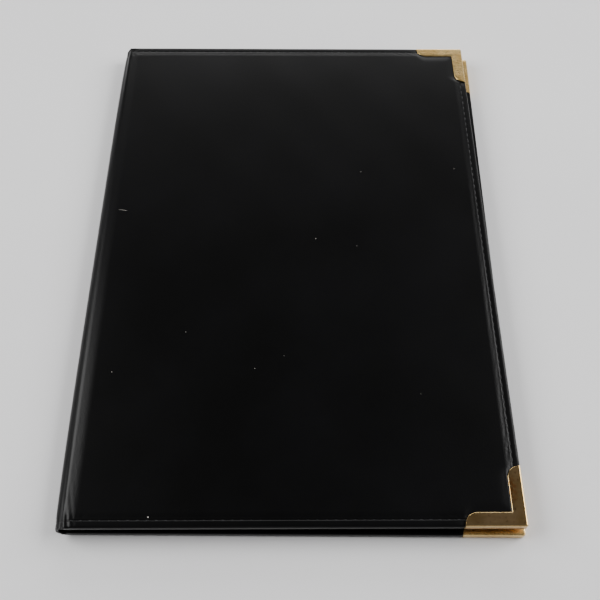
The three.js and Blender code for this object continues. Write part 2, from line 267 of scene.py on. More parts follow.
def per_mm(period_mm):
    """Scale of a texture whose features lie period_mm apart: 1000 over the period."""
    return 1000.0 / period_mm


print("black calf is", [round(v, 4) for v in linear("#050505")])

# %% [markdown]
# Leather is a skin of small rounded cells with pores between them, under a clear finish. The cells
# are a Voronoi pattern and the pores a fine noise, mixed into one height for a bump. Real grain is
# too fine to show, so the cells are drawn about 1 mm wide. A broad noise makes the colour and the
# sheen a little uneven. The sheen varies over a narrow range only, because a wider one left faint
# marks at glancing angles.


# %% Leather
def leather(name, base, worn, roughness, grain_mm):
    """Height is 65 parts of cells to 35 of pores, with shallow waves on top. Colour follows a noise."""
    material, tree, place = new_material(name)
    broad = add(tree, "TexNoise", {"Vector": place, "Scale": per_mm(55), "Detail": 4.0})
    fine = add(tree, "TexNoise", {"Vector": place, "Scale": per_mm(6), "Detail": 6.0})
    cells = add(tree, "TexVoronoi", {"Vector": place, "Scale": per_mm(grain_mm)})
    pores = add(tree, "TexNoise", {"Vector": place, "Scale": per_mm(0.5), "Detail": 2.0})
    rubbed = add(tree, "ValToRGB", {"Fac": broad}, [(0.35, 0.0), (0.75, 1.0)])
    colour = add(tree, "MixRGB", {"Fac": rubbed, "Color1": linear(base), "Color2": linear(worn)})
    shine = add(tree, "MapRange", {"Value": broad, "To Min": roughness, "To Max": roughness + 0.04})
    pebble = add(tree, "MixRGB", {"Fac": 0.35, "Color1": cells, "Color2": pores})
    skin = add(tree, "Bump", {"Height": pebble, "Strength": 0.25, "Distance": 0.12 * MM})
    waves = add(tree, "Bump", {"Height": fine, "Strength": 0.05, "Distance": 0.3 * MM, "Normal": skin})
    sockets = {"Base Color": colour, "Roughness": shine, "Normal": waves, "Specular IOR Level": 0.155}
    add(tree, "OutputMaterial", {"Surface": add(tree, "BsdfPrincipled", sockets)})
    return material


# Calf leather, waxed and polished: all but black, with soft lights that spread over the panels
LEATHER = leather("polished_calf_leather", "#050505", "#080809", 0.277, 1.1)
# Split leather, pressed thin and left satin: a shade greyer, and hardly any light runs over it
POCKET_LEATHER = leather("thin_satin_leather", "#101011", "#17171a", 0.5, 0.9)
print("leathers", LEATHER.name, POCKET_LEATHER.name)

# %% [markdown]
# Brass sheet comes rolled and polished, and hands then tarnish it: the yellow goes cloudy, small
# spots turn brown, fine scratches run along it, and the edges stay bright where they rub. Noises of
# three sizes give the clouds, spots and scratches, and Pointiness finds the edges. One corner has a
# copper-red stain, which fades with the distance from one place. That corner's brass is also darker
# and browner all over: painted shade for a corner that reflects the dark room.


# %% Brass
def brass(name, low_colour, high_colour, spot_colour, roughness, stained_at=None):
    """Clouds mix two yellows, then spots, the stain and the worn edges are laid over them in turn."""
    material, tree, place = new_material(name)
    cloud = add(tree, "TexNoise", {"Vector": place, "Scale": per_mm(9), "Detail": 5.0})
    speck = add(tree, "TexNoise", {"Vector": place, "Scale": per_mm(1.6), "Detail": 3.0})
    lengthwise = add(tree, "Mapping", {"Vector": place, "Scale": (1.0, 14.0, 14.0)})
    scratch = add(tree, "TexNoise", {"Vector": lengthwise, "Scale": per_mm(3), "Detail": 4.0})
    edges = add(tree, "NewGeometry").outputs["Pointiness"]

    cloudy = add(tree, "ValToRGB", {"Fac": cloud}, [(0.35, 0.0), (0.7, 1.0)])
    yellows = {"Color1": linear(low_colour), "Color2": linear(high_colour)}
    metal = add(tree, "MixRGB", {"Fac": cloudy, **yellows})
    spots = add(tree, "ValToRGB", {"Fac": speck}, [(0.62, 0.0), (0.72, 0.85)])
    metal = add(tree, "MixRGB", {"Fac": spots, "Color1": metal, "Color2": linear(spot_colour)})
    if stained_at is not None:
        from_stain = add(tree, "VectorMath", {0: place, 1: stained_at}, operation="SUBTRACT")
        narrow = add(tree, "VectorMath", {0: from_stain, 1: (2.4, 1.0, 1.0)}, operation="MULTIPLY")
        away = add(tree, "VectorMath", {0: narrow}, operation="LENGTH").outputs["Value"]
        fading = {"From Min": 3 * MM, "From Max": 9 * MM, "To Min": 0.9, "To Max": 0.0}
        near = add(tree, "MapRange", {"Value": away, **fading})
        patches = add(tree, "ValToRGB", {"Fac": speck}, [(0.36, 0.0), (0.52, 1.0)])
        amount = add(tree, "Math", {0: near, 1: patches}, operation="MULTIPLY")
        metal = add(tree, "MixRGB", {"Fac": amount, "Color1": metal, "Color2": linear("#a5611f")})
    worn = add(tree, "ValToRGB", {"Fac": edges}, [(0.5, 0.0), (0.56, 0.7)])
    metal = add(tree, "MixRGB", {"Fac": worn, "Color1": metal, "Color2": linear("#e9cf94")})

    limits = {"To Min": roughness - 0.05, "To Max": roughness + 0.09}
    shine = add(tree, "MapRange", {"Value": scratch, **limits})
    dents = add(tree, "Bump", {"Height": scratch, "Strength": 0.06, "Distance": 0.05 * MM})
    sockets = {"Base Color": metal, "Metallic": 1.0, "Roughness": shine, "Normal": dents}
    add(tree, "OutputMaterial", {"Surface": add(tree, "BsdfPrincipled", sockets)})
    return material


# Polished brass: a warm pale yellow that takes up the brightness round it
BRASS_METAL = brass("polished_brass", "#d2ac68", "#ebcb8d", "#8a5c2b", 0.26)
# The same sheet at the front foot corner: glossier, red about its stain, and darker and browner as
# painted shade
STAIN_AT = [(FORE - 6.6) * MM, (FOOT + 20.0) * MM, THICK * MM]
STAINED_AND_SHADED_BRASS = brass("stained_brass_with_painted_shade", "#b2905c", "#c8a778", "#7a4a22", 0.19, STAIN_AT)
print("metals", BRASS_METAL.name, STAINED_AND_SHADED_BRASS.name)

# %% [markdown]
# The lining is a plain weave: two wave patterns cross at the thread's spacing, which is drawn at
# 1.3 mm, coarser than the real one, so that it shows. The sewing thread uses the same recipe. An
# image of cloth would do as well, but it would tie the weave to one scale.


# %% Cloth and thread
def woven(name, dark, light, thread_mm, roughness=0.85):
    """Warp and weft are waves along x and y, mixed half and half. A noise gives uneven threads."""
    material, tree, place = new_material(name)
    scale = 0.314 * per_mm(thread_mm)  # a wave texture's bands lie 0.314 / scale apart
    warp = add(tree, "TexWave", {"Vector": place, "Scale": scale}, bands_direction="X")
    weft = add(tree, "TexWave", {"Vector": place, "Scale": scale}, bands_direction="Y")
    cross = add(tree, "MixRGB", {"Fac": 0.5, "Color1": warp, "Color2": weft})
    slub = add(tree, "TexNoise", {"Vector": place, "Scale": per_mm(12), "Detail": 4.0})
    mixed = add(tree, "MixRGB", {"Fac": 0.5, "Color1": cross, "Color2": slub.outputs["Color"]})
    colour = add(tree, "ValToRGB", {"Fac": mixed}, [(0.3, dark), (0.7, light)])
    bump = add(tree, "Bump", {"Height": cross, "Strength": 0.5, "Distance": 0.08 * MM})
    sockets = {"Base Color": colour, "Roughness": roughness, "Normal": bump}
    add(tree, "OutputMaterial", {"Surface": add(tree, "BsdfPrincipled", sockets)})
    return material


# Viscose lining, woven: a dull black with a fine check of threads
LINING_CLOTH = woven("woven_viscose_lining", "#111113", "#232327", 1.3)
# Polyester thread, twisted and waxed: black, with a faint light on top of each stitch
THREAD = woven("waxed_polyester_thread", "#070708", "#121215", 0.6, 0.55)
print("cloth and thread", LINING_CLOTH.name, THREAD.name)

# %% [markdown]
# The pad's paper is ruled across the sheet, and its edges show the leaves as fine lines. Both are
# remainders of a coordinate, the rules of y and the leaves of z, and the way a face looks decides
# which of them it gets.


# %% Ruled paper
def ruled_paper(name):
    """A line lies where y's remainder by 7 mm, or z's by 0.2 mm at the edges, is under its width."""
    material, tree, place = new_material(name)
    xyz = add(tree, "SeparateXYZ", {"Vector": place})
    row = add(tree, "Math", {0: xyz.outputs["Y"], 1: 7 * MM}, operation="MODULO")
    row = add(tree, "Math", {0: row}, operation="ABSOLUTE")
    rule = add(tree, "Math", {0: row, 1: 0.22 * MM}, operation="LESS_THAN")
    leaf = add(tree, "Math", {0: xyz.outputs["Z"], 1: 0.2 * MM}, operation="MODULO")
    leaf = add(tree, "Math", {0: leaf, 1: 0.06 * MM}, operation="LESS_THAN")
    facing = add(tree, "SeparateXYZ", {"Vector": add(tree, "NewGeometry").outputs["Normal"]})
    upright = add(tree, "Math", {0: facing.outputs["Z"]}, operation="ABSOLUTE")
    flat = add(tree, "Math", {0: upright, 1: 0.7}, operation="GREATER_THAN")
    line = add(tree, "MixRGB", {"Fac": flat, "Color1": leaf, "Color2": rule})
    fibre = add(tree, "TexNoise", {"Vector": place, "Scale": per_mm(2), "Detail": 5.0})
    sheet = add(tree, "ValToRGB", {"Fac": fibre}, [(0.3, "#efe9d6"), (0.7, "#f6f2e4")])
    ink = add(tree, "Math", {0: line, 1: 0.45}, operation="MULTIPLY")
    colour = add(tree, "MixRGB", {"Fac": ink, "Color1": sheet, "Color2": linear("#7c8fa8")})
    bump = add(tree, "Bump", {"Height": fibre, "Strength": 0.08, "Distance": 0.05 * MM})
    sockets = {"Base Color": colour, "Roughness": 0.85, "Normal": bump}
    add(tree, "OutputMaterial", {"Surface": add(tree, "BsdfPrincipled", sockets)})
    return material


# Writing paper, sized and smooth: ivory, with blue-grey rules and a soft tooth
PAPER = ruled_paper("ruled_writing_paper")
print("paper", PAPER.name)

# %% [markdown]
# Board, card, binding paper and foam are all matted or blown stuff: uneven in colour and surface at
# one small size. One noise serves for both, and only the colours and the size differ.


# %% Board, card and foam
def fibrous(name, dark, light, grain_mm, roughness=0.9):
    """One noise at the grain's size gives the colour between dark and light, and the height."""
    material, tree, place = new_material(name)
    fibre = add(tree, "TexNoise", {"Vector": place, "Scale": per_mm(grain_mm), "Detail": 8.0})
    colour = add(tree, "ValToRGB", {"Fac": fibre}, [(0.3, dark), (0.7, light)])
    bump = add(tree, "Bump", {"Height": fibre, "Strength": 0.3, "Distance": 0.1 * MM})
    sockets = {"Base Color": colour, "Roughness": roughness, "Normal": bump}
    add(tree, "OutputMaterial", {"Surface": add(tree, "BsdfPrincipled", sockets)})
    return material


# Backing card, pressed from waste paper: a speckled warm grey
GREY_CARD = fibrous("grey_backing_card", "#837d72", "#a09a8e", 1.5)
# Binding paper, dyed and calendered: dark, and a little less dull than the rest
BINDING = fibrous("dark_binding_paper", "#26262b", "#3a3a41", 1.0, 0.6)
# Millboard, rolled: brown-grey and coarse at its cut edges
BOARD = fibrous("grey_board", "#6e6250", "#8a7c66", 1.2)
# Foam, blown: an even dull grey
FOAM = fibrous("grey_foam", "#6f6f6b", "#8d8d88", 0.8, 1.0)
print("boards and foam", GREY_CARD.name, BINDING.name, BOARD.name, FOAM.name)

# %% [markdown]
# The jacket's outer face is a plain grid on the panel. Round it runs an edge strip, a profile
# carried along the foot, fore-edge and head: a ramp down from the padding, the stitched rim with
# its groove, the rounded edge, the wall and the turned-in hem. Offset lines of a rounded corner
# shrink to a point and then stay square, so one formula serves every inset.


# %% Stations along the edges
def spaced(start, end, step):
    """Values from start to end, about step apart."""
    return np.linspace(start, end, max(2, int(round(abs(end - start) / step)) + 1))


def fine_near_leg(start, end):
    """Stations from start to end, closer together about the place where the brass's leg ends."""
    near, far = end - BRASS_LEG - 16, end - BRASS_LEG + 9
    parts = [spaced(start, near, 3.0), spaced(near, far, 0.75), spaced(far, end, 1.1)]
    return np.unique(np.concatenate(parts))


LAST_STEP = 0.6  # no station lies closer than this to the panel's edge
roll_parts = [spaced(0, ROLL - 2, 0.7), spaced(ROLL - 2, ROLL + 9, 0.55)]
P_LINE = np.unique(np.concatenate(roll_parts + [fine_near_leg(ROLL + 9, PATH_FORE)]))
P_LINE = P_LINE[P_LINE <= PATH_FORE - RIM_LINE - LAST_STEP]
P_LINE = np.append(P_LINE, PATH_FORE - RIM_LINE)
half = fine_near_leg(0, HEAD)
half = half[half <= HEAD - RIM_LINE - LAST_STEP]
Y_LINE = np.concatenate([-half[::-1], half[1:]])
Y_LINE = np.concatenate([[FOOT + RIM_LINE], Y_LINE, [HEAD - RIM_LINE]])
print("stations across", P_LINE.size, "and along", Y_LINE.size)


def edge_path():
    """Stations round the free edges: centres on the corner-radius rectangle and outward normals."""
    edge_p, edge_y = PATH_FORE - CORNER_R, HEAD - CORNER_R
    turn = np.radians(np.arange(0, 91, 10))
    centre_p = [P_LINE, np.full(turn.size, edge_p), np.full(Y_LINE.size, edge_p)]
    centre_y = [np.full(P_LINE.size, -edge_y), np.full(turn.size, -edge_y), Y_LINE]
    normal_p = [np.zeros(P_LINE.size), np.sin(turn), np.ones(Y_LINE.size)]
    normal_y = [-np.ones(P_LINE.size), -np.cos(turn), np.zeros(Y_LINE.size)]
    centre_p += [np.full(turn.size, edge_p), P_LINE[::-1]]
    centre_y += [np.full(turn.size, edge_y), np.full(P_LINE.size, edge_y)]
    normal_p += [np.cos(turn), np.zeros(P_LINE.size)]
    normal_y += [np.sin(turn), np.ones(P_LINE.size)]
    return [np.concatenate(part) for part in (centre_p, centre_y, normal_p, normal_y)]


def offset_line(path, inset):
    """The path moved in by inset: out from the centre while the corner has a radius, then square."""
    centre_p, centre_y, normal_p, normal_y = path
    reach = np.maximum(CORNER_R - inset, 0)
    p = np.minimum(centre_p + normal_p * reach, PATH_FORE - inset)
    y = np.clip(centre_y + normal_y * reach, FOOT + inset, HEAD - inset)
    return p, y


# %% [markdown]
# Small fields shape the skin: the crown of the padding, the valley along the fold, the puckers where
# the spine's ends are turned in, and the seats that the brass is pressed into. Each is a formula of
# p and y, so they add up. Sculpting would give the same look, but not the same look each time.

# %% Where the brass lies
CROWN = 0.28  # the padding lifts the front's middle by this much
VALLEY = 1.0  # the skin sinks beside the roll
PUCKER = 0.2
DRAWN_DOWN = 0.3  # beside the brass
PINCH = 1.1  # the roll's ends are drawn in


def leg_width(distance_to_corner):
    """How far the brass reaches in at a distance from the corner: full, then a quarter-round."""
    run = np.clip(distance_to_corner - (BRASS_LEG - BRASS_END_R), 0, BRASS_END_R)
    width = BRASS_WIDTH - BRASS_END_R + np.sqrt(np.maximum(BRASS_END_R**2 - run**2, 0.4))
    return np.where(distance_to_corner > BRASS_LEG, -5.0, width)


def under_brass(p, y):
    """True where the skin lies under a corner protector or within the gap round it."""
    u = PATH_FORE - p
    v = HEAD - np.abs(y)
    on_end_leg = v < leg_width(u - BRASS_GAP) + BRASS_GAP
    return on_end_leg | (u < leg_width(v - BRASS_GAP) + BRASS_GAP)


def past_leg(along, across):
    """Distance from a leg: how far past its width across it, and past its end along it."""
    past_width = np.maximum(across - leg_width(np.minimum(along, BRASS_LEG)), 0)
    return np.hypot(past_width, np.maximum(along - BRASS_LEG, 0))


def beside_brass(p, y):
    """1 at the brass's outline, falling off as a bell of 2.8 mm: the leather is drawn down there."""
    u, v = PATH_FORE - p, HEAD - np.abs(y)
    return np.exp(-((np.minimum(past_leg(u, v), past_leg(v, u)) / 2.8) ** 2))


print("brass reaches in by", BRASS_WIDTH, "and at its end by", round(float(leg_width(BRASS_LEG)), 2))


# %% Shape of the skin
def pinch(p, y):
    """The roll is drawn in a little towards its two ends, at every depth."""
    return PINCH * np.exp(-(HEAD - np.abs(y)) / 30.0) * (1 - smooth(p, ROLL - 5, ROLL))


def skin_depth(p, y, side):
    """Depth of the outer face at a skin point, apart from the rim.

    A flat-topped crown lifts the front, a valley runs beside the roll, puckers are a sine that dies
    away from the ends, and two slow waves cross the front panel.
    """
    across = np.clip((p - ROLL - 6) / (PATH_FORE - RIM_LINE - ROLL - 6), 0, 1)
    along = np.clip(np.abs(y) / (HEAD - RIM_LINE), 0, 1)
    crown = (1 - (2 * across - 1) ** 6) * (1 - along**8) if side > 0 else 0 * p
    valley = smooth(p, 0.3, ROLL - 3.5) * (1 - smooth(p, ROLL - 3.5, ROLL + 6))
    end = np.exp(-(HEAD - np.abs(y)) / 7.0)
    pucker = end * np.exp(-(((p - ROLL + 1) / 5.0) ** 2)) * np.sin(2.1 * p + 0.5 * y)
    wave = 0.05 * np.sin(p / 17.0 + 1.3) * np.sin(y / 23.0) + 0.03 * np.sin(p / 7.3 + y / 9.1)
    wave = wave * smooth(p, ROLL + 8, ROLL + 30)
    raised = -CROWN * crown + (0.0 if side < 0 else wave)
    return raised + VALLEY * valley + PUCKER * pucker + DRAWN_DOWN * beside_brass(p, y)


print("depth in the middle of the front", round(float(skin_depth(PATH_FORE / 2, 0.0, 1)), 2))

# %% [markdown]
# The edge strip's profile is a table of (inset, depth, share of the panel's shape that it follows).
# It goes down the ramp, over the rim with its groove for the stitches, round the edge, down the wall
# and in along the hem. A bevel on a box would give an even edge, and no rim.

# %% Profile of the edge
EDGE_R = 1.1
EDGE_DEPTH = 0.46
SEAT_DEPTH = 0.6  # the brass's seat
PROFILE = [
    (RIM_LINE, 0.0, 1.0), (7.7, 0.0, 1.0), (7.4, 0.01, 1.0), (7.0, 0.04, 1.0), (6.5, 0.1, 1.0),
    (6.0, 0.18, 1.0), (5.5, 0.27, 1.0), (5.0, 0.35, 1.0), (4.6, 0.4, 1.0), (4.3, 0.42, 1.0),
    (4.05, 0.46, 1.0), (3.85, 0.6, 1.0), (3.65, 0.66, 1.0), (3.45, 0.6, 1.0), (3.25, 0.46, 1.0),
    (2.9, 0.43, 1.0), (2.2, 0.42, 1.0), (1.5, 0.43, 1.0),
]
PROFILE += [
    (EDGE_R * (1 - math.sin(a)), EDGE_DEPTH + EDGE_R * (1 - math.cos(a)), 1 - a / 1.6)
    for a in np.radians([15, 35, 55, 75, 90])
]
PROFILE += [
    (0.0, 2.4, 0.0), (0.02, 3.3, 0.0), (0.12, 3.7, 0.0), (0.35, 3.9, 0.0), (0.8, 3.95, 0.0),
    (3.4, 3.93, 0.0), (3.65, 3.8, 0.0), (3.9, 3.93, 0.0), (8.0, 3.95, 0.0),
    (HEM - 0.5, 3.95, 0.0), (HEM - 0.15, 3.88, 0.0), (HEM, 3.6, 0.0),
]
print("lines of the profile", len(PROFILE))

# %% [markdown]
# On the real folio the jacket is one piece of leather. Here it is two halves that meet in the middle
# of the spine, one for each cover. The ramp and rim are uneven by hand: flatter at the head, lumpy,
# and creased where the brass ends.


# %% One half of the jacket
def rim_depth(inset, depth, follow, p, y, side):
    """Depth along one line of the ramp and rim.

    The profile's depth is less beside the spine and at the head, which are flatter. Lumps and the
    creases at the brass's leg ends, both sines, lie on the ramp. The brass presses its seat down.
    """
    flatness = 0.45 + 0.55 * smooth(p, ROLL, ROLL + 6)
    flatness = flatness * (1 - 0.55 * smooth(y, HEAD - 26, HEAD - 9))
    line_depth = depth * flatness + follow * skin_depth(p, y, side)
    lump = 0.06 * np.sin(1.9 * p + 0.7 * y) * np.sin(0.8 * p - 1.3 * y)
    to_leg_end = np.maximum(PATH_FORE - p, HEAD - np.abs(y)) - BRASS_LEG
    crease = 0.05 * np.sin(2.6 * (p + y)) * np.exp(-(((to_leg_end - 6) / 6.0) ** 2))
    line_depth = line_depth + (lump + crease) * math.exp(-((inset - 5.2) ** 2))
    return np.where(under_brass(p, y), np.maximum(line_depth, SEAT_DEPTH), line_depth)


def jacket_half(side):
    """Points and faces of one half of the jacket: the panel, then a line for each row of PROFILE."""
    p, y = np.meshgrid(P_LINE, Y_LINE, indexing="ij")
    panel = rolled(p, y, skin_depth(p, y, side) + pinch(p, y), side)
    path = edge_path()
    rows = []
    for inset, depth, follow in PROFILE:
        p, y = offset_line(path, inset)
        if depth < 1.0:
            line_depth = rim_depth(inset, depth, follow, p, y, side)
        else:
            line_depth = depth * depth_share(p) + follow * skin_depth(p, y, side)
            if inset < 1.2:  # the wall stands back where the brass goes round it
                p, y = offset_line(path, np.where(under_brass(p, y), SEAT_DEPTH, inset))
        rows.append(rolled(p, y, line_depth + pinch(p, y), side))
    grids = [panel, np.stack(rows)]
    return stack(*[(grid, quads_of(*grid.shape[:2], flip=side < 0)) for grid in grids])


# %% The jacket
jackets = {}
for side, cover in SIDES:
    points, faces = jacket_half(side)
    jacket = mesh_of(cover + "_jacket", points, faces, LEATHER, merge=0.01)
    thicken(jacket, JACKET_THICK, even=False)  # soft leather thins a little where it is creased
    jackets[cover] = jacket
    print(jacket.name, len(jacket.data.polygons), "faces")

# %% [markdown]
# The inside is lined with cloth that runs over the spine too. It is the same sheet coordinates at
# the depth of the hem, glued down, so it needs no simulation.


# %% Lining
def lining_half(side):
    """A grid at the hem's depth, from mid-spine to just short of the hem, sagging by two sines."""
    p = P_LINE[P_LINE < PATH_FORE - HEM - 1]
    p = np.append(p, PATH_FORE - HEM - 0.1)
    y = spaced(FOOT + HEM + 0.1, HEAD - HEM - 0.1, 3.0)
    p, y = np.meshgrid(p, y, indexing="ij")
    sag = 0.05 * np.sin(p / 6.0) * np.sin(y / 11.0)
    return rolled(p, y, 3.86 * depth_share(p) + sag + pinch(p, y), side)


linings = {}
for side, cover in SIDES:
    cloth = piece(cover + "_lining_cloth", lining_half(side), LINING_CLOTH, flip=side > 0)
    thicken(cloth, CLOTH_THICK)
    linings[cover] = cloth
    print(cloth.name, len(cloth.data.polygons), "faces")

# %% [markdown]
# A corner protector is folded from one piece of sheet: outer plate, wall and inner plate, each leg
# ending in a quarter-round. The same kind of offset line makes it, with the inset stopped at the
# plate's width, which shrinks along the quarter-round. Booleans could cut it from a block, but they
# would leave sharp edges and no rolled lip.


# %% Brass corner protectors
def corner_sheet(side, end, proud):
    """Outer surface of one protector: rows across the fold, columns round the corner.

    Each row is a line at one inset and one depth below the skin. On the inner plate the two legs
    meet at a mitre, with a gap.
    """
    straight = BRASS_LEG - BRASS_END_R
    quarter = np.radians(np.arange(6, 91, 7))
    run = np.append(spaced(BRASS_CORNER_R, straight, 1.5), straight + BRASS_END_R * np.sin(quarter))
    turn = np.radians(np.arange(0, 91, 10))
    beside = np.full(turn.size, BRASS_CORNER_R)
    u = np.concatenate([run[::-1], beside, np.full(run.size, BRASS_CORNER_R)])
    v = np.concatenate([np.full(run.size, BRASS_CORNER_R), beside, run])
    out_u = np.concatenate([np.zeros(run.size), np.sin(turn), np.ones(run.size)])
    out_v = np.concatenate([np.ones(run.size), np.cos(turn), np.zeros(run.size)])
    on_leg = np.concatenate([run[::-1], np.zeros(turn.size), run])
    width = np.where(on_leg > 0, leg_width(on_leg), BRASS_WIDTH)
    on_end_leg = np.arange(u.size) < run.size
    on_fore_leg = np.arange(u.size) >= run.size + turn.size

    def row(inset, depth, gap=0.0):
        """The line at an inset; on a leg it stays past the mitre by the gap."""
        reach = np.maximum(BRASS_CORNER_R - inset, 0)
        row_u = np.maximum(u - out_u * reach, inset)
        row_v = np.maximum(v - out_v * reach, inset)
        row_u = np.where(on_end_leg, np.maximum(row_u, row_v + gap), row_u)
        row_v = np.where(on_fore_leg, np.maximum(row_v, row_u + gap), row_v)
        return rolled(PATH_FORE - row_u, end * (HEAD - row_v), np.full(u.size, depth), side)

    inner = COVER + SLACK + BRASS
    fold_r, inner_r = 0.85, 0.5
    lip = [(0.0, 0.3), (0.04, 0.12), (0.14, -0.02), (0.3, 0.04 - proud), (0.5, -proud)]
    shares = [0.8, 0.6, 0.4, 0.2]
    bend = np.radians([0, 22.5, 45, 67.5, 90])
    rows = [row(np.maximum(width - back, fold_r), depth) for back, depth in lip]
    rows += [row(np.maximum((width - 0.5) * s, fold_r), -proud) for s in shares]
    rows += [row(fold_r * (1 - math.sin(a)), fold_r * (1 - math.cos(a)) - proud) for a in bend]
    rows += [row(0.0, depth) for depth in (1.4, 2.4, 3.3)]
    rows += [row(inner_r * (1 - math.cos(a)), inner - inner_r * (1 - math.sin(a))) for a in bend]
    rows += [row(np.maximum(width * s, inner_r), inner, gap=0.16) for s in shares[::-1] + [1.0]]
    return np.stack(rows)


for side, cover in SIDES:
    for end, edge in ((1, "head"), (-1, "foot")):
        sheet = corner_sheet(side, end, BRASS_PROUD if side > 0 else 0.0)
        name = "brass_protector_" + cover + "_" + edge
        # The front cover's foot corner takes the darker brass, which is painted shade, along with its
        # real stain
        metal = STAINED_AND_SHADED_BRASS if (side, end) == (1, -1) else BRASS_METAL
        protector = piece(name, sheet, metal, flip=side * end > 0, merge=0.01)
        thicken(protector, BRASS - 0.02)
        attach(protector, cover + "_cover")
        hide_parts("brass_corner_" + cover + "_" + edge)
        print(name, sheet.shape[:2], "points")

# %% [markdown]
# The stitches are separate small pieces of thread, each a rounded bar half sunk in the groove, one
# every 4.5 mm. An array modifier would copy a bar along straight lines only, so one bar of a few
# dozen faces is set down at every place by adding arrays, and all of a cover's rows are one mesh.

# %% One stitch
STITCH_PITCH = 4.5
STITCH_LENGTH = 3.1
STITCH_R = 0.3
STITCH_INSET = 3.65


def stitch_bar(scale):
    """One stitch along u: rings of eight points whose radius tapers and whose ends dip by a parabola."""
    ring = np.radians(np.arange(0, 360, 45))
    along = np.array([-0.5, -0.42, -0.25, 0, 0.25, 0.42, 0.5]) * STITCH_LENGTH * scale
    radius = np.array([0.05, 0.6, 0.92, 1, 0.92, 0.6, 0.05]) * STITCH_R * scale
    sink = -0.35 * scale * (along / along[-1]) ** 2
    u = np.repeat(along[:, None], ring.size, 1)
    w = radius[:, None] * np.cos(ring)
    n = sink[:, None] + radius[:, None] * np.sin(ring)
    index = np.arange(along.size * ring.size).reshape(along.size, ring.size)
    a, b = index[:-1], index[1:]
    faces = np.stack([a, b, np.roll(b, -1, 1), np.roll(a, -1, 1)], -1).reshape(-1, 4)
    return np.stack([u, w, n], -1).reshape(-1, 3), faces


print("one stitch has", len(stitch_bar(1.0)[1]), "faces and two ends")


# %% Rows of stitches
def stitches(name, runs, depth, side, outward, body, scale=1.0):
    """Bars at the (p, y, angle) of each run, each turned by its angle and a small random one.

    depth is one number, or one for each run. outward is 1 on the outer face and -1 inside.
    """
    bar, bar_faces = stitch_bar(scale)
    depths = np.broadcast_to(depth, len(runs))
    depth = np.concatenate([np.full(run[0].size, d) for run, d in zip(runs, depths)])[:, None]
    p, y, angle = (np.concatenate(part)[:, None] for part in zip(*runs))
    angle = angle + np.random.default_rng(7).normal(0, 0.05, angle.shape)
    along, wide, up = (bar[:, k][None] for k in range(3))
    at_p = p + along * np.cos(angle) - wide * np.sin(angle)
    at_y = y + along * np.sin(angle) + wide * np.cos(angle)
    points = rolled(at_p, at_y, depth - outward * up + 0 * at_p, side)
    faces = (bar_faces[None] + (np.arange(p.size) * len(bar))[:, None, None]).reshape(-1, 4)
    thread = mesh_of(name, points, faces, THREAD, merge=0)
    closing = bmesh.new()
    closing.from_mesh(thread.data)
    bmesh.ops.holes_fill(closing, edges=closing.edges)
    bmesh.ops.recalc_face_normals(closing, faces=closing.faces)
    closing.to_mesh(thread.data)
    closing.free()
    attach(thread, body)
    print(name, p.size, "stitches")


def run_along(start, end, fixed, upright, pitch=STITCH_PITCH):
    """A straight run of (p, y, angle) between start and end: along y if upright, else along p."""
    at = np.arange(start, end, pitch)
    other = np.full(at.size, float(fixed))
    return (other, at, other * 0 + math.pi / 2) if upright else (at, other, other * 0)


def cover_runs():
    """Foot, fore-edge and head of a cover, stopping short of the brass."""
    start, stop = ROLL + 3.2, PATH_FORE - BRASS_LEG - 0.6
    return [
        run_along(start, stop, FOOT + STITCH_INSET, False),
        run_along(FOOT + BRASS_LEG + 3, HEAD - BRASS_LEG - 0.6, PATH_FORE - STITCH_INSET, True),
        run_along(start, stop, HEAD - STITCH_INSET, False),
    ]


RUN_DEPTHS = (0.86, 0.54, 0.42)  # the foot row is drawn in tighter than the other two
for side, cover in SIDES:
    stitches(cover + "_stitching", cover_runs(), RUN_DEPTHS, side, 1, cover + "_cover")
    stitches(cover + "_hem_stitching", cover_runs(), COVER - 0.1, side, -1, cover + "_cover")

# %% [markdown]
# Inside, the pockets and the pad's sleeve are thin leather skins, sewn down on three sides. Each is
# one grid from the foot to its open edge. It lies on the lining at the seams, rises to leave room
# for paper or cards, and is thicker along the open edge, where the skin is folded back and sewn.


# %% The skin of a pocket
def clear_of_corner(x, y):
    """Moves points out of the L that the brass's inner plate fills at the foot's fore corner."""
    x = np.minimum(x, FORE - leg_width(y - FOOT) - BRASS_GAP)
    return x, np.maximum(y, FOOT + leg_width(FORE - x) + BRASS_GAP)


def pocket_grid(left, right, foot, top, seam, has_corner):
    """Points over (left, right) and (foot, top(x)), closer together at the seams and the open edge."""
    ease = np.array([0, 0.1, 0.25, 0.45, 0.7, 1.0]) * seam
    across = spaced(left + seam + 1.5, right - seam - 1.5, 2.5)
    x = np.concatenate([left + ease, across, right - ease[::-1]])
    below_edge = np.array([6.2, 5.6, 5.2, 5.0, 4.7, 2.5, 0.7, 0.25, 0.0])[:, None]
    between = np.linspace(0, 1, 2 + int((top(left) - foot) / 2.5))[1:-1, None]
    body_low, body_high = foot + seam, top(x) - 6.8
    y = np.vstack([
        foot + ease[:, None] + 0 * x,
        body_low + (body_high - body_low) * between,
        top(x) - below_edge,
    ])
    x = np.broadcast_to(x, y.shape)
    return clear_of_corner(x, y) if has_corner else (x, y)


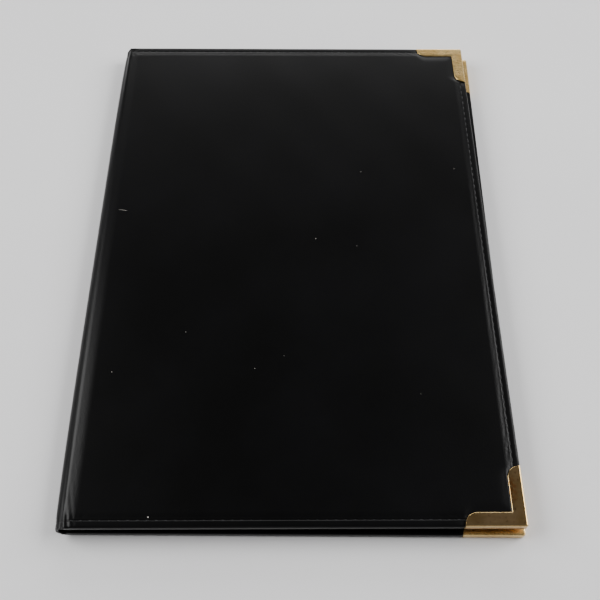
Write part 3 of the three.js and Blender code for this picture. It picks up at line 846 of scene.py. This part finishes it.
def pocket_depth(x, y, left, right, foot, top, space, skin, seam, hem, has_corner):
    """Depth of the skin: an eased step up from each seam, a slow sag, and a raised hem."""
    to_seam = np.minimum(np.minimum(x - left, right - x), y - foot)
    if has_corner:
        beside_leg = FORE - BRASS_GAP - x - leg_width(y - FOOT)
        above_leg = y - FOOT - leg_width(FORE - x) - BRASS_GAP
        to_seam = np.minimum(to_seam, np.maximum(np.minimum(beside_leg, above_leg), 0))
    sag = 0.04 * np.sin(x / 13.0 + 0.7) * np.sin(y / 17.0) * smooth(to_seam, seam, seam + 12)
    height = space * smooth(to_seam, 0.1 * seam, seam) + sag
    height = height + hem * smooth(top(x) - y, 5.2, 4.95) * (0.3 + 0.7 * smooth(top(x) - y, 0, 0.5))
    pressed = 0.6 * skin * (1 - smooth(to_seam, 0, 0.4))
    return COVER + SLACK + skin + height - pressed


# %% A pocket and its seams
def pocket(name, cover, left, right, foot, top, space, skin, seam, hem=0.22, has_corner=False):
    """A skin with its seams: left, foot and right, and a row along the open edge if that has a hem."""
    side = 1 if cover == "front" else -1
    x, y = pocket_grid(left, right, foot, top, seam, has_corner)
    depth = pocket_depth(x, y, left, right, foot, top, space, skin, seam, hem, has_corner)
    sheet = rolled(ROLL + x - SPINE_X - ROLL_R, y, depth, side)
    skin_piece = piece(name + "_skin", sheet, POCKET_LEATHER, flip=side < 0, merge=0.01)
    thicken(skin_piece, 0.35 * skin)
    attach(skin_piece, cover + "_cover")
    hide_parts(name)

    to_p = ROLL - SPINE_X - ROLL_R
    pitch, edge = 0.75 * STITCH_PITCH, 1.1
    clear = BRASS_LEG + 1.5 if has_corner else 0.0
    seams = [
        run_along(foot + 2.5, top(left) - 1.5, left + edge + to_p, True, pitch),
        run_along(max(foot + 2.5, FOOT + clear), top(right) - 1.5, right - edge + to_p, True, pitch),
        run_along(left + 2.5 + to_p, min(right, FORE - clear) - 2 + to_p, foot + edge, False, pitch),
    ]
    seam_depth = COVER + SLACK + skin + 0.3 * space
    stitches(name + "_seam", seams, seam_depth, side, -1, cover + "_cover", 0.7)
    if hem > 0:
        along = np.arange(left + 3, right - 2, pitch)
        slope = np.arctan2(top(along + 0.5) - top(along - 0.5), 1.0)
        row = [(along + to_p, top(along) - 3.6, slope)]
        row_depth = COVER + 0.03 + skin + space + hem
        stitches(name + "_hem", row, row_depth, side, -1, cover + "_cover", 0.7)


# %% [markdown]
# Four pockets use that skin: the sleeve that the pad's card slides into, a large document pocket
# whose open edge rises in a curve, and two card pockets, one behind the other.

# %% Sleeve and pockets
POCKET_FOOT = FOOT + 3.0
POCKET_LEFT, POCKET_RIGHT = COVER_X + 0.3, FORE - 3.0
SPINE_TOP, FORE_TOP, DIP = POCKET_FOOT + 168.0, POCKET_FOOT + 204.0, 9.0
CARD_RIGHT, CARD_WIDE, CARD_TALL = FORE - 40.0, 96.0, 52.0
CARD_FOOT = FORE_TOP + 5.0
CARD_STEP = 16.0  # the upper card pocket stands this much higher
CARD_MARGIN = 2.3  # the lower one is this much wider on each side


def straight_top(height):
    """An open edge at one height."""
    return lambda x: height + 0 * x


def curved_top(x):
    """Open edge of the document pocket: a parabola from the spine side up to the fore-edge."""
    t = np.clip((x - POCKET_LEFT) / (POCKET_RIGHT - POCKET_LEFT), 0, 1)
    middle = (SPINE_TOP + FORE_TOP) / 2 - 2 * DIP
    return (1 - t) ** 2 * SPINE_TOP + 2 * t * (1 - t) * middle + t**2 * FORE_TOP


# The pad lies on the sleeve's open edge, so that edge is left flat
sleeve_low, sleeve_high = box_mm("pad_sleeve")
pocket("pad_sleeve", "back", sleeve_low[0], sleeve_high[0], sleeve_low[1], straight_top(sleeve_high[1]),
       sleeve_high[2] - COVER - 0.55, 0.5, 1.4, hem=0.0, has_corner=True)
pocket("document_pocket", "front", POCKET_LEFT, POCKET_RIGHT, POCKET_FOOT, curved_top,
       0.15, 0.5, 2.5, has_corner=True)
pocket("card_pocket_upper", "front", CARD_RIGHT - CARD_WIDE, CARD_RIGHT, CARD_FOOT + CARD_STEP,
       straight_top(CARD_FOOT + CARD_STEP + CARD_TALL), 0.15, 0.4, 2.0)
pocket("card_pocket_lower", "front", CARD_RIGHT - CARD_WIDE - CARD_MARGIN, CARD_RIGHT + CARD_MARGIN,
       CARD_FOOT, straight_top(CARD_FOOT + CARD_TALL), 0.6, 0.4, 2.0)

# %% [markdown]
# A used cover isn't clean. A few flakes of dust and one short fibre lie on the front. They could be
# painted into the leather, but as small meshes they catch the light and stay sharp.

# %% Dust on the cover
# House dust, settled: pale grey specks without any shine
DUST = fibrous("house_dust", "#8d8a84", "#c9c5bc", 0.3)
# Millimetres from the spine's outside and from the foot edge, and the flake's size
MARKS = [(127.6, 165.1, 0.5), (155.5, 214.3, 0.4), (212.2, 216.8, 0.35), (151.1, 160.3, 0.35)]
MARKS += [(45.9, 5.0, 0.75), (57.1, 104.5, 0.35), (94.7, 82.6, 0.4), (109.9, 90.2, 0.3)]
MARKS += [(180.7, 68.3, 0.35), (20.2, 80.9, 0.5)]
FIBRE_AT, FIBRE_LENGTH = (14.7, 185.5), 5.4
CORNERS = 7  # of a flake


def flakes(marks):
    """Each mark is a low mound: a ring of corners at random radii, joined to a raised centre."""
    random = np.random.default_rng(11)
    across, along, size = (np.array(marks).T)[:, :, None]
    angle = np.linspace(0, 2 * math.pi, CORNERS, endpoint=False)[None]
    angle = angle + random.uniform(0, 1, across.shape)
    radius = size * random.uniform(0.35, 0.6, (len(marks), CORNERS))
    p0, y0 = ROLL - ROLL_R + across, FOOT + along
    p = np.concatenate([p0 + radius * np.cos(angle), p0], 1)
    y = np.concatenate([y0 + radius * np.sin(angle), y0], 1)
    lift = np.concatenate([np.zeros_like(radius), 0.3 * size], 1)
    points = rolled(p, y, skin_depth(p, y, 1) - lift - 0.01, 1)
    ring = np.arange(CORNERS)
    fan = np.stack([ring, np.roll(ring, -1), np.full(CORNERS, CORNERS)], -1)
    faces = (fan[None] + (np.arange(len(marks)) * (CORNERS + 1))[:, None, None]).reshape(-1, 3)
    return points, faces


def hair(across, along, length):
    """A thin strip along a shallow parabola, its width tapering with the fourth power."""
    t = np.linspace(-0.5, 0.5, 13)
    width = 0.06 * (1 - (2 * t) ** 4)[None] * np.array([[-1.0], [1.0]])
    p = ROLL - ROLL_R + across + length * t[None] + width * 0.3
    y = FOOT + along - 1.6 * t[None] ** 2 - 0.9 * t[None] + width
    return rolled(p, y, skin_depth(p, y, 1) - 0.06, 1)


dust = mesh_of("dust_flakes", *flakes(MARKS), DUST, merge=0)
strand = piece("stray_fibre", hair(*FIBRE_AT, FIBRE_LENGTH), DUST, flip=True, merge=0)
for thing in (dust, strand):
    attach(thing, "front_cover")
print("flakes", len(MARKS), "and one fibre of", FIBRE_LENGTH, "mm")

# %% [markdown]
# The jacket and the lining come last, when their meshes are final: each half's placement is baked
# into its mesh, and the frame's own leather and lining are hidden.


def follow_fold(thing):
    """Bakes a half's placement into its mesh."""
    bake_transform(thing)


for things in (jackets, linings):
    follow_fold(things["back"])
    follow_fold(things["front"])
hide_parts("front_cover_leather", "spine_leather")
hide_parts("back_cover_leather")
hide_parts("front_lining", "spine_lining")
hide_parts("back_lining")

# %% [markdown]
# The pad, the boards and the foam are plain cut sheets, so the frame's own solids serve as they are.
# Only their materials are changed.

# %% Finishes of the pieces kept from the frame
KEPT = {
    "pad_sheets": PAPER,
    "pad_backing_card": GREY_CARD,
    "pad_binding_strip": BINDING,
    "back_cover_board": BOARD,
    "front_cover_board": BOARD,
    "back_cover_foam": FOAM,
    "front_cover_foam": FOAM,
}
for name, material in KEPT.items():
    node = frame["nodes"][name]
    node.data.materials.clear()
    node.data.materials.append(material)
print("kept pieces", len(KEPT))

# %% [markdown]
# The folio lies on a plain pale table. One large square is enough, because nothing shows its edges,
# and a slow noise keeps its colour from looking flat.

# %% Floor
FLOOR_SIZE = 3000.0


def table_top(name):
    """Lacquered board: a pale grey, clouded by a noise of 160 mm, that reflects only softly."""
    material, tree, place = new_material(name)
    cloud = add(tree, "TexNoise", {"Vector": place, "Scale": per_mm(160), "Detail": 3.0})
    colour = add(tree, "ValToRGB", {"Fac": cloud}, [(0.2, "#dddcdd"), (0.8, "#e3e3e3")])
    shader = add(tree, "BsdfPrincipled", {"Base Color": colour, "Roughness": 0.6})
    add(tree, "OutputMaterial", {"Surface": shader})
    return material


ends = (-FLOOR_SIZE, FLOOR_SIZE)
floor_grid = np.array([[[x, y, 0.0] for y in ends] for x in ends])
floor = piece("table_top", floor_grid, table_top("pale_table"))
print("table", 2 * FLOOR_SIZE, "mm wide")

# %% [markdown]
# The camera stands where the photo's camera stood, found from the cover's outline. Its direction is
# built up from three angles: down, to the right, and a small tilt about the lens axis.

# %% Camera
CAMERA_AT = (3.82, -282.4, 435.0)  # millimetres
CAMERA_PITCH, CAMERA_YAW, CAMERA_ROLL = 56.64, 0.77, 1.11  # degrees: down, to the right, tilted
FOCAL_PIXELS = 889.2
PICTURE = 600.0
CENTRE_PIXEL = (306.9, 254.2)  # where the lens axis meets the picture
SENSOR = 36.0  # millimetres

camera = bpy.data.objects.new("camera", bpy.data.cameras.new("camera"))
bpy.context.scene.collection.objects.link(camera)
pitch, yaw, tilt = (math.radians(a) for a in (CAMERA_PITCH, CAMERA_YAW, CAMERA_ROLL))
ahead = np.array([math.sin(yaw) * math.cos(pitch), math.cos(yaw) * math.cos(pitch), -math.sin(pitch)])
sideways = np.cross(ahead, (0, 0, 1))
sideways = sideways / np.linalg.norm(sideways)
above = np.cross(sideways, ahead)
rightward = math.cos(tilt) * sideways + math.sin(tilt) * above
upward = -math.sin(tilt) * sideways + math.cos(tilt) * above
turned = Matrix(np.column_stack([rightward, upward, -ahead]).tolist()).to_4x4()
camera.matrix_world = Matrix.Translation([v * MM for v in CAMERA_AT]) @ turned
camera.data.sensor_width = SENSOR
camera.data.lens = FOCAL_PIXELS * SENSOR / PICTURE
camera.data.shift_x = (PICTURE / 2 - CENTRE_PIXEL[0]) / PICTURE
camera.data.shift_y = (CENTRE_PIXEL[1] - PICTURE / 2) / PICTURE
camera.data.clip_start = 0.01
bpy.context.scene.camera = camera
print("lens", round(camera.data.lens, 2), "mm")

# %% [markdown]
# The light is soft, as in a room with pale walls. Four large panels give it: one on each side, one
# beyond the head end, which the leather reflects as a pale sheen, and a weak one behind the camera.
# An even sky fills the shadows.


# %% Light
def panel_light(name, at, size, power):
    """A soft rectangular light at a place, facing the folio, sizes in metres and power in watts."""
    lamp = bpy.data.lights.new(name, "AREA")
    lamp.shape = "RECTANGLE"
    lamp.size, lamp.size_y = size
    lamp.energy = power
    thing = bpy.data.objects.new(name, lamp)
    bpy.context.scene.collection.objects.link(thing)
    back = np.array(at) / np.linalg.norm(at)
    across = np.cross((0, 1, 0.01), back)
    across = across / np.linalg.norm(across)
    turned = np.column_stack([across, np.cross(back, across), back])
    thing.matrix_world = Matrix(turned.tolist()).to_4x4()
    thing.location = at
    print(name, power, "watts")


panel_light("left_panel", (-1.5, 0.2, 1.15), (1.15, 1.3), 42)
panel_light("right_panel", (1.5, 0.35, 1.05), (1.1, 1.5), 48)
panel_light("head_panel", (0.0, 2.2, 0.9), (2.4, 0.9), 34)
panel_light("camera_panel", (0.1, -1.7, 1.3), (1.4, 0.7), 2.5)
world = bpy.data.worlds.new("soft_room")
world.use_nodes = True
sky = world.node_tree.nodes["Background"].inputs
sky["Color"].default_value = (0.8, 0.8, 0.82, 1)
sky["Strength"].default_value = 0.12
bpy.context.scene.world = world
